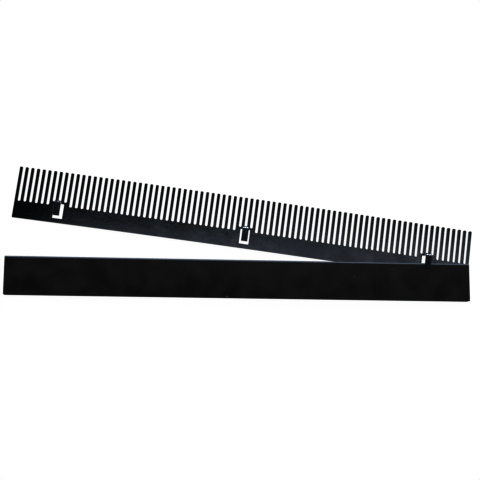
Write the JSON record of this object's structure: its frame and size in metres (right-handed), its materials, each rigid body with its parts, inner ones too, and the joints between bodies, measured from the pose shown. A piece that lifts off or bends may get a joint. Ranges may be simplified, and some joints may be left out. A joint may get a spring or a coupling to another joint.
{
  "type": "overflow weir comb",
  "caption": "Long toothed weir comb that hooks over a channel-shaped mounting bar, which grips the top edge of an aquarium's glass.",
  "frame": {"origin": "middle of the face inside the bar's channel that rests on the edge of the glass", "axes": "+X along the bar to the hook that is still engaged, +Y from the glass up to the teeth, +Z into the tank, through the hooks' tongues"},
  "size_m": [0.5152, 0.1418, 0.0142],
  "materials": {
    "bar_plastic": "satin moulded",
    "comb_plastic": "semi-gloss moulded"
  },
  "bodies": {
    "bar": {"mounting_bar": "bar_plastic"},
    "comb": {"comb_plate": "comb_plastic", "comb_teeth": "comb_plastic", "hook_arm_left": "comb_plastic", "hook_arm_centre": "comb_plastic", "hook_arm_right": "comb_plastic"},
    "left_tongue": {"hook_tongue_left": "comb_plastic"},
    "centre_tongue": {"hook_tongue_centre": "comb_plastic"},
    "right_tongue": {"hook_tongue_right": "comb_plastic"}
  },
  "joints": [
    {"name": "comb_swing", "type": "hinge", "parent": "bar", "child": "comb", "pos_m": [0.282, 0.002, -0.0062], "axis": [0, 0, -1], "range_deg": [-7, 3.5]},
    {"name": "left_tongue_flex", "type": "hinge", "parent": "comb", "child": "left_tongue", "pos_m": [-0.19962, 0.06245, 0.0056], "axis": [-0.9925, 0.1219, 0], "range_deg": [0, 5], "stiffness_Nm_per_rad": 1.5},
    {"name": "centre_tongue_flex", "type": "hinge", "parent": "comb", "child": "centre_tongue", "pos_m": [0.00454, 0.03738, 0.0056], "axis": [-0.9925, 0.1219, 0], "range_deg": [0, 5], "stiffness_Nm_per_rad": 1.5},
    {"name": "right_tongue_flex", "type": "hinge", "parent": "comb", "child": "right_tongue", "pos_m": [0.2087, 0.01231, 0.0056], "axis": [-0.9925, 0.1219, 0], "range_deg": [0, 5], "stiffness_Nm_per_rad": 1.5}
  ]
}
